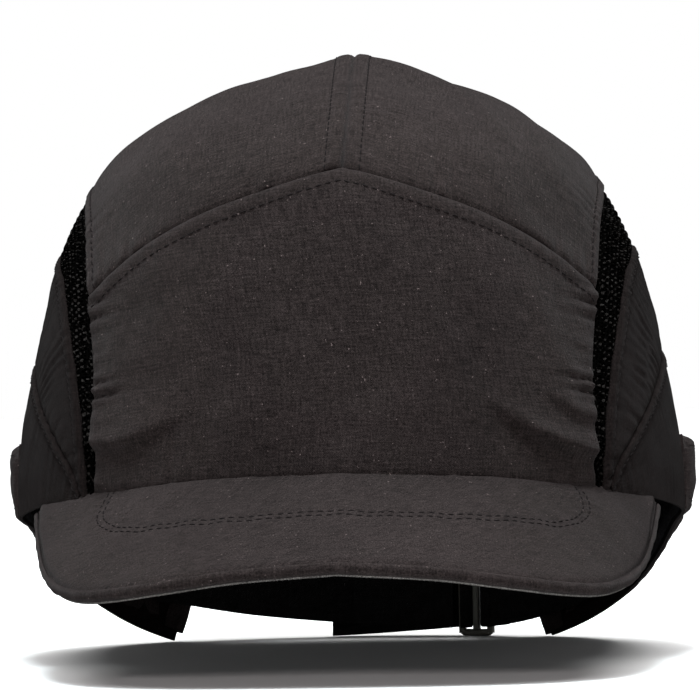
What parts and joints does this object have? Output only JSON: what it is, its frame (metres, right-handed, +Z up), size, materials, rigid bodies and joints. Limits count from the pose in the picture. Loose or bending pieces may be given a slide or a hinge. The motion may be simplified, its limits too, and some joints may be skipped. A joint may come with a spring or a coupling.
{
  "type": "bump cap",
  "caption": "Baseball-style bump cap with a short peak, mesh side vents, removable vented shell with foam pads, and an adjustable rear strap.",
  "frame": {"origin": "bottom centre of the bounding box, on the level of the lowest hem corners", "axes": "+Z up as worn, -Y to the front over the peak, +X to the wearer's left"},
  "size_m": [0.1992, 0.2729, 0.1748],
  "materials": {
    "cloth": "plain weave, matt",
    "mesh": "open spacer mesh",
    "towelling": "brushed",
    "label": "satin ribbon, blank",
    "board": "matt",
    "shell": "fine texture",
    "foam": "closed-cell foam, matt",
    "webbing": "woven, matt",
    "hook_and_loop": "hook and loop",
    "ring": "satin"
  },
  "bodies": {
    "cap": {"front_panel": "cloth", "crown_panel_left": "cloth", "crown_panel_right": "cloth", "side_panel_left": "cloth", "side_panel_right": "cloth", "lower_panel_left": "cloth", "lower_panel_right": "cloth", "crown_seam_tape": "cloth", "hem_band_left": "cloth", "hem_band_right": "cloth", "rear_arch_binding": "cloth", "peak_cover_top": "cloth", "peak_cover_bottom": "cloth", "peak_edge_binding": "cloth", "mesh_insert_left": "mesh", "mesh_insert_right": "mesh", "sweatband_front": "towelling", "sweatband_left": "towelling", "sweatband_right": "towelling", "care_label": "label", "peak_board": "board", "rear_strap": "webbing", "strap_loop_patch": "hook_and_loop"},
    "insert": {"impact_shell": "shell", "crown_pad": "foam", "front_pad": "foam", "rear_pad": "foam", "side_pad_left": "foam", "side_pad_right": "foam"},
    "strap_slider": {"strap_ring": "ring", "strap_tab": "webbing", "strap_inner_run": "webbing"},
    "strap_tail": {"strap_tail": "webbing", "strap_hook_patch": "hook_and_loop"}
  },
  "joints": [
    {"name": "strap_adjust", "type": "hinge", "parent": "cap", "child": "strap_slider", "pos_m": [0, 0.0416, 0], "axis": [0, 0, 1], "range_deg": [-2, 12]},
    {"name": "tail_peel", "type": "hinge", "parent": "strap_slider", "child": "strap_tail", "pos_m": [0.03081, 0.12861, 0.0124], "axis": [0, 0, -1], "range_deg": [0, 100]},
    {"name": "insert_removal", "type": "slide", "parent": "cap", "child": "insert", "axis": [0, 0, -1], "range_m": [0, 0.16]}
  ]
}
